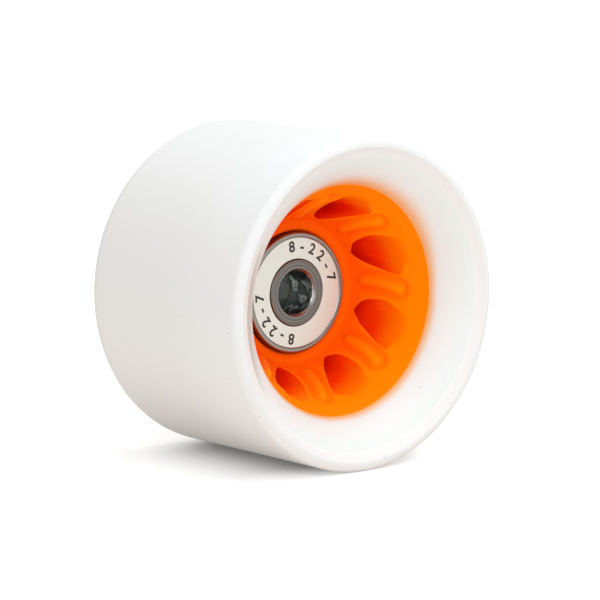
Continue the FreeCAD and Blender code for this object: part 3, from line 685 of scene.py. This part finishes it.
class CoreFace:
    """One face of the core, made of eight equal sectors with a pocket each.

    Points lie on a flat map, length round the axis and radius. Surface places them in space, edge gives the
    reach of the pocket's rounded edge along the face and down the wall, and the wall's draft, and way is the
    pocket's direction along the axis. Counts are the parts of a sector's side, then those of the face, the
    edge and the wall between border and floor.
    """

    def __init__(self, size, shift, radii, floor):
        self.size = size
        self.shift = shift
        self.inner, self.outer = radii
        self.floor = floor

    def border(self):
        """Return radius and angle of the points round a sector."""
        inner, outer, side = self.inner, self.outer, self.counts[0]
        low = [(inner, 2 * HALF_SECTOR * j / INNER_PARTS - HALF_SECTOR) for j in range(INNER_PARTS)]
        far = [(inner + (outer - inner) * j / side, HALF_SECTOR) for j in range(side)]
        high = [(outer, HALF_SECTOR - 2 * HALF_SECTOR * j / OUTER_PARTS) for j in range(OUTER_PARTS)]
        near = [(outer - (outer - inner) * j / side, -HALF_SECTOR) for j in range(side)]
        return [(radius, angle + self.shift(radius)) for radius, angle in low + far + high + near]

    def column(self, radius, angle):
        """Return the points from one on the border over the pocket's edge and down its wall to the floor."""
        face, bends, drops = self.counts[1:]
        ray = Vector((FLAT * angle, radius)) - self.centre
        lean = atan2(ray.y, ray.x)
        across = ray.normalized()
        inside = self.reach(lean)
        along_face, down_wall, draft = self.edge(lean)
        start = inside + along_face
        points = []
        for k in range(face, -1, -1):
            far = start + (ray.length - start) * k / face
            points.append(self.surface(self.centre + across * far, lean, inside))
        corner = self.surface(self.centre + across * inside, lean, inside, plain=True)
        first, bottom = points[-1], corner + Vector((0, self.way * down_wall, 0))
        for k in range(1, bends + 1):
            t = k / bends
            points.append(first * (1 - t) ** 2 + corner * (2 * t * (1 - t)) + bottom * t ** 2)
        depth = (self.floor - bottom.y) * self.way - FLOOR_ROUND

        def wall(narrower, place):
            on_face = self.surface(self.centre + across * (inside - narrower), lean, inside, plain=True)
            points.append(Vector((on_face.x, place, on_face.z)))

        for k in range(1, drops + 1):
            down = depth * k / drops
            wall(down * tan(draft), bottom.y + self.way * down)
        for k in range(1, FLOOR_PARTS + 1):
            turned = k / FLOOR_PARTS * pi / 2
            narrower = depth * tan(draft) + FLOOR_ROUND * (1 - cos(turned))
            wall(narrower, self.floor - self.way * FLOOR_ROUND * (1 - sin(turned)))
        return points

    def build(self, bm):
        """Make one sector and repeat it round the axis."""
        columns = [self.column(radius, angle) for radius, angle in self.border()]
        count, rows = len(columns), len(columns[0])
        grid = bmesh.ops.create_grid(bm, x_segments=rows - 1, y_segments=count, size=1.0)["verts"]
        for number, vert in enumerate(grid):
            i, j = divmod(number, rows)
            vert.co = columns[i % count][j]
        bm.faces.new([grid[i * rows + rows - 1] for i in range(count)])
        seam = [vert for number, vert in enumerate(grid) if number // rows in (0, count)]
        bmesh.ops.remove_doubles(bm, verts=seam, dist=SEAM_MERGED)
        faces = {face for vert in grid if vert.is_valid for face in vert.link_faces}
        edges = {edge for face in faces for edge in face.edges}
        verts = {vert for face in faces for vert in face.verts}
        for i in range(1, SECTORS):
            made = bmesh.ops.duplicate(bm, geom=list(verts) + list(edges) + list(faces))["geom"]
            turned = [part for part in made if isinstance(part, bmesh.types.BMVert)]
            rotation = Matrix.Rotation(-2 * HALF_SECTOR * i, 3, "Y")
            bmesh.ops.rotate(bm, verts=turned, cent=(0, 0, 0), matrix=rotation)


class FrontFace(CoreFace):
    """The cone with its eight swept pockets and eight raised ovals."""

    way = 1
    counts = (44, 18, 6, 8)

    def __init__(self, size, shift, radii, floor):
        super().__init__(size, shift, radii, floor)
        self.rise = cone_rise(size)
        self.slope = 1 / hypot(1, self.rise)
        line = spline(RIDGE_LINE, steps=6, closed=False)
        line = [point for point in line if RIDGE_ENDS[0] <= point.x <= RIDGE_ENDS[1]]
        self.from_ridge = ridge_reader(line, self.slope)
        self.centre = Vector((0, POCKET_CENTRE))
        rows = spline(POCKET_EDGE, steps=16, closed=True)
        outline = [Vector((FLAT * radians(angle), radius * MM)) for radius, angle in rows]
        self.reach = reach_round(outline, self.centre)

    def softness(self, lean):
        """Return 0 where the pocket's edge is sharp and 1 where it is soft."""
        bearing = degrees(lean % (2 * pi))
        return smoothstep(bearing, *SOFT_RISE) * (1 - smoothstep(bearing, *SOFT_FALL))

    def stretch(self, lean):
        """Return a length on the cone for a length on the flat map."""
        return hypot(cos(lean), sin(lean) / self.slope)

    def height(self, point, lean, inside):
        """Return the relief above the plain cone."""
        size, radius = self.size, point.y
        far = self.from_ridge(radius, point.x / FLAT)
        beside = ((point - self.centre).length - inside) * self.stretch(lean)
        height = size.ridge_height * (1 - smoothstep(far, *RIDGE_SIDE))
        height -= size.trough_depth * bell(far, TROUGH_PLACE, TROUGH_WIDTH)
        height += LIP_HEIGHT * bell(beside, LIP_PLACE, LIP_WIDTH) * (1 - self.softness(lean))
        height *= smoothstep(radius - self.inner, *BOSS_FADE)
        return height * (1 - smoothstep(radius - size.rim, *RIM_FADE))

    def surface(self, point, lean, inside, plain=False):
        height = 0.0 if plain else self.height(point, lean, inside)
        outward = Vector((-self.rise, -1)).normalized() * height
        place = self.size.boss_face - (point.y - self.size.boss) * self.rise + outward.y
        radius = point.y + outward.x
        angle = point.x / FLAT + HALF_SECTOR
        return Vector((radius * cos(angle), place, radius * sin(angle)))

    def edge(self, lean):
        soft = self.softness(lean)
        along_face, down_wall, draft = (sharp + gain * soft for sharp, gain in zip(SHARP_EDGE, SOFT_GAIN))
        return along_face / self.stretch(lean), down_wall, draft


class RearFace(CoreFace):
    """The flat rear with its eight straight pockets."""

    way = -1
    counts = (20, 4, 4, 5)

    def __init__(self, size, shift, radii, floor):
        super().__init__(size, shift, radii, floor)
        low, high = REAR_PLACES
        rib = REAR_RIB / cos(HALF_SECTOR)
        low_half, high_half = low * tan(HALF_SECTOR) - rib, high * tan(HALF_SECTOR) - rib
        points = rounded([
            (low_half, low, REAR_ROUNDS[0]), (high_half, high, REAR_ROUNDS[1]),
            (-high_half, high, REAR_ROUNDS[1]), (-low_half, low, REAR_ROUNDS[0]),
        ], steps=8)
        pairs = zip(points, points[1:] + points[:1])
        fine = [here.lerp(ahead, k / LINE_PARTS) for here, ahead in pairs for k in range(LINE_PARTS)]
        outline = [Vector((FLAT * atan2(p.x, p.y), hypot(p.x, p.y))) for p in fine]
        self.centre = Vector((0, (low + high) / 2))
        self.reach = reach_round(outline, self.centre)

    def surface(self, point, lean, inside, plain=False):
        angle = point.x / FLAT + HALF_SECTOR
        return Vector((point.y * cos(angle), self.size.core_rear, point.y * sin(angle)))

    def edge(self, lean):
        return REAR_EDGE


class WHEEL_OT_core(bpy.types.Operator):
    """Mould the orange core with its pockets and ridged spokes"""

    bl_idname = "wheel.core"
    bl_label = "Core"

    def execute(self, context):
        size = sizes()
        bm = bmesh.new()
        line = spline(RIDGE_LINE, steps=6, closed=False)
        sweep = table_reader([(radius * MM, radians(angle)) for radius, angle in line])
        slant = Vector((1, -cone_rise(size))).normalized()
        start = Vector((size.boss, size.boss_face)) + slant * BOSS_SLANT
        rear_inner = size.seat + REAR_LAND
        inside = rounded([
            (start.x, start.y, 0), (size.boss, size.boss_face, size.boss_round),
            (size.seat + size.boss_bevel, size.boss_face, SEAT_ROUNDS[0]),
            (size.seat, size.boss_face + 2 * size.boss_bevel, 0),
            (size.seat, size.front_shoulder, 0), (size.shoulder, size.front_shoulder, 0),
            (size.shoulder, size.rear_shoulder, 0), (size.seat, size.rear_shoulder, 0),
            (size.seat, size.core_rear, SEAT_ROUNDS[1]), (rear_inner, size.core_rear, 0),
        ], steps=5, closed=False)
        first, last = sweep(start.x), sweep(size.rim)
        turn(bm, inside, INNER_PARTS * SECTORS, start=first, closed=False)
        turn(bm, rounded(interface(), closed=False), OUTER_PARTS * SECTORS, start=last, closed=False)
        FrontFace(size, sweep, (start.x, size.rim), size.pocket_floor).build(bm)
        straight = table_reader([(rear_inner, first), (size.core_outside, last)])
        RearFace(size, straight, (rear_inner, size.core_outside), size.rear_floor).build(bm)
        finished("core_moulded", bm, "wheel", nylon_finish(), ["core"], smooth=40)
        return {"FINISHED"}


def paint(ending, material):
    """Give the CAD nodes whose names end this way, numbers left aside, a material."""
    for node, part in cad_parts.items():
        if node.rstrip("_0123456789").endswith(ending):
            part.data.materials.clear()
            part.data.materials.append(material)


class WHEEL_OT_bearings(bpy.types.Operator):
    """Finish the two ball bearings and the spacer"""

    bl_idname = "wheel.bearings"
    bl_label = "Bearings"

    def execute(self, context):
        shades = colours()
        rings = steel_finish("ring_steel", shades.steel, rough=0.26, lines=0.004 * MM,
                             grooves=GROOVES, inner=shades.inner_steel_shade)
        paint("_ring", rings)
        paint("_ball", steel_finish("ball_steel", shades.ball, rough=0.08, lines=0.0005 * MM))
        paint("spacer", steel_finish("spacer_metal", shades.spacer, rough=0.3, lines=0.006 * MM))
        paint("seal_plate", plate_finish())
        paint("seal_lip", dull_finish("seal_rubber", shades.rubber, rough=0.6, scale=700.0))
        paint("cage", dull_finish("nylon_black", shades.cage, rough=0.45, scale=500.0))
        return {"FINISHED"}


# The printed numbers: their text, and the degrees of the first sign and between two signs on each arc.
NUMBERS = "8-22-7"
NUMBER_ARCS = ((97, 16.5), (262, 16.0))
NUMBER_SIZE, NUMBER_RADIUS = 2.75 * MM, 8.42 * MM
STROKE_GAIN, INK_HALF_HEIGHT = 0.075 * MM, 0.012 * MM
# The seal plate's face lies this far behind the ring's.
PLATE_DEPTH = 0.2 * MM


class WHEEL_OT_numbers(bpy.types.Operator):
    """Print the bearing's plain size numbers on its front seal plate"""

    bl_idname = "wheel.numbers"
    bl_label = "Size numbers"

    def execute(self, context):
        bm = bmesh.new()
        for first, step in NUMBER_ARCS:
            for i, sign in enumerate(NUMBERS):
                self.print_sign(bm, sign, radians(first - step * i))
        ink = dull_finish("print_ink", colours().ink, rough=0.5, scale=900.0)
        finished("size_numbers", bm, "wheel", ink, [])
        return {"FINISHED"}

    def print_sign(self, bm, sign, angle):
        """Add one sign, upright at an angle round the axis."""
        letter = bpy.data.curves.new("sign", "FONT")
        letter.body = sign
        letter.size = NUMBER_SIZE
        letter.align_x = "CENTER"
        letter.align_y = "CENTER"
        letter.offset = STROKE_GAIN
        letter.extrude = INK_HALF_HEIGHT
        holder = bpy.data.objects.new("sign", letter)
        flat = bpy.data.meshes.new_from_object(holder)
        flat.transform(Matrix.Rotation(pi / 2, 4, "X"))
        flat.transform(Matrix.Translation((0, BEARING_BOX[0].y + PLATE_DEPTH, NUMBER_RADIUS)))
        flat.transform(Matrix.Rotation(pi / 2 - angle, 4, "Y"))
        bm.from_mesh(flat)
        bpy.data.objects.remove(holder)
        bpy.data.curves.remove(letter)
        bpy.data.meshes.remove(flat)


# Lamps: name, place, width and power in watts.
LAMPS = (
    ("top_light", (0.22, -0.25, 0.88), 0.9, 6.0),
    ("front_light", (-0.75, -0.9, 0.36), 0.8, 3.9),
)
# Strength of the surrounding light on surfaces. The camera sees it at full strength.
WORLD_LIGHT = 0.56
FLOOR_SIZE, FLOOR_GAP = 6.0, 0.02 * MM
FLOOR_SEEN, FLOOR_BOUNCE = (0.9, 0.9, 0.9, 1.0), (0.86, 0.79, 0.73, 1.0)
# The shadow is a streak under the wheel. Distances from it are stretched to the front and to the back, and
# the floor's own light rises with them: at once past the streak, and slowly further out.
STREAK_FRONT, FRONT_STRETCH = -8.0 * MM, 2.0
STREAK_BACK, BACK_STRETCH = 10.0 * MM, 1.6
NEAR_RISE, NEAR_LIGHT = (7.0 * MM, 27.0 * MM), 0.38
FAR_RISE, FAR_LIGHT = (70.0 * MM, 350.0 * MM), 0.15
FLOOR_GLOW = 0.07
CAMERA_PLACE = (-0.40728, -0.49728, 0.09763)
CAMERA_AZIMUTH, CAMERA_ELEVATION, CAMERA_ROLL = radians(-39.491), radians(8.776), radians(0.022)
CAMERA_LENS, CAMERA_SENSOR, CAMERA_CLIP = 214.56, 36.0, (0.05, 20.0)


class WHEEL_OT_stage(bpy.types.Operator):
    """Set the white floor, the soft lights and the camera"""

    bl_idname = "wheel.stage"
    bl_label = "Stage"

    def execute(self, context):
        scene = context.scene
        scene.view_settings.view_transform = "Standard"
        self.floor()
        self.world(scene)
        for lamp in LAMPS:
            self.lamp(*lamp)
        self.camera(scene)
        return {"FINISHED"}

    def floor(self):
        """Lay a white floor that keeps the wheel's shadow."""
        bm = bmesh.new()
        bmesh.ops.create_grid(bm, x_segments=1, y_segments=1, size=FLOOR_SIZE)
        bmesh.ops.translate(bm, verts=bm.verts, vec=(0, 0, -sizes().tread - FLOOR_GAP))
        mesh = bpy.data.meshes.new("floor")
        bm.to_mesh(mesh)
        bm.free()
        mesh.materials.append(self.floor_finish())
        floor = bpy.data.objects.new("floor", mesh)
        bpy.context.collection.objects.link(floor)

    def floor_finish(self):
        """Matt white that glows a little more away from the wheel, as far as the camera sees it."""
        finish = Finish("floor_white")
        x, y, _, _ = finish.apart(finish.place())
        in_front = (y - STREAK_FRONT).at_most(0.0) * FRONT_STRETCH
        behind = (y - STREAK_BACK).at_least(0.0) * BACK_STRETCH
        away = (x * x + in_front * in_front + behind * behind) ** 0.5
        clear = finish.ease(away, *NEAR_RISE) * NEAR_LIGHT + finish.ease(away, *FAR_RISE) * FAR_LIGHT
        seen = finish.node("LightPath", output="Is Camera Ray")
        strength = seen.between(FLOOR_GLOW, clear)
        shader = finish.node("BsdfDiffuse", inputs={"Color": finish.mix(seen, FLOOR_BOUNCE, FLOOR_SEEN)})
        glow = finish.node("Emission", inputs={"Color": (1, 1, 1, 1), "Strength": strength})
        finish.end(finish.node("AddShader", inputs={0: shader, 1: glow}))
        return finish.material

    def world(self, scene):
        """Surround the wheel with an even white light."""
        world = bpy.data.worlds.new("studio")
        world.use_nodes = True
        scene.world = world
        finish = Finish("studio", world.node_tree)
        path = finish.node("LightPath", output="Is Camera Ray")
        direct = (path + path.output("Is Glossy Ray") + path.output("Is Transmission Ray")).clamped()
        strength = direct.between(WORLD_LIGHT, 1.0)
        finish.end(finish.node("Background", inputs={"Color": (1, 1, 1, 1), "Strength": strength}), "World")

    def lamp(self, name, place, size, power):
        """Hang a square soft light that looks at the wheel."""
        light = bpy.data.lights.new(name, "AREA")
        light.size = size
        light.energy = power
        holder = bpy.data.objects.new(name, light)
        holder.location = place
        holder.rotation_mode = "QUATERNION"
        holder.rotation_quaternion = Vector(place).to_track_quat("Z", "Y")
        bpy.context.collection.objects.link(holder)

    def camera(self, scene):
        """Stand the camera where the photograph was taken."""
        lens = bpy.data.cameras.new("camera")
        lens.sensor_width = CAMERA_SENSOR
        lens.lens = CAMERA_LENS
        lens.clip_start, lens.clip_end = CAMERA_CLIP
        camera = bpy.data.objects.new("camera", lens)
        camera.location = CAMERA_PLACE
        camera.rotation_mode = "QUATERNION"
        level = cos(CAMERA_ELEVATION)
        back = Vector((sin(CAMERA_AZIMUTH) * level, -cos(CAMERA_AZIMUTH) * level, sin(CAMERA_ELEVATION)))
        roll = Quaternion((0, 0, 1), CAMERA_ROLL)
        camera.rotation_quaternion = (-back).to_track_quat("-Z", "Y") @ roll
        scene.collection.objects.link(camera)
        scene.camera = camera


class WHEEL_PT_panel(bpy.types.Panel):
    """List the wheel's pieces and settings in the sidebar"""

    bl_idname = "WHEEL_PT_panel"
    bl_label = "Roller Skate Wheel"
    bl_space_type = "VIEW_3D"
    bl_region_type = "UI"
    bl_category = "Wheel"

    def draw(self, context):
        for group in (context.scene.wheel_sizes, context.scene.wheel_colours):
            box = self.layout.box()
            for name in group.bl_rna.properties.keys():
                if name not in ("rna_type", "name"):
                    box.prop(group, name)
        for piece in PIECES:
            self.layout.operator(piece.bl_idname)


PIECES = (WHEEL_OT_tyre, WHEEL_OT_core, WHEEL_OT_bearings, WHEEL_OT_numbers, WHEEL_OT_stage)
CLASSES = (WheelSizes, WheelColours) + PIECES + (WHEEL_PT_panel,)


def register():
    """Register the classes and the settings on the scene."""
    for cls in CLASSES:
        bpy.utils.register_class(cls)
    bpy.types.Scene.wheel_sizes = bpy.props.PointerProperty(type=WheelSizes)
    bpy.types.Scene.wheel_colours = bpy.props.PointerProperty(type=WheelColours)


def unregister():
    """Take the settings and the classes away again."""
    del bpy.types.Scene.wheel_colours
    del bpy.types.Scene.wheel_sizes
    for cls in reversed(CLASSES):
        bpy.utils.unregister_class(cls)


def main():
    """Make every piece."""
    register()
    for piece in PIECES:
        group, name = piece.bl_idname.split(".")
        getattr(getattr(bpy.ops, group), name)()


if __name__ == "__main__":
    main()
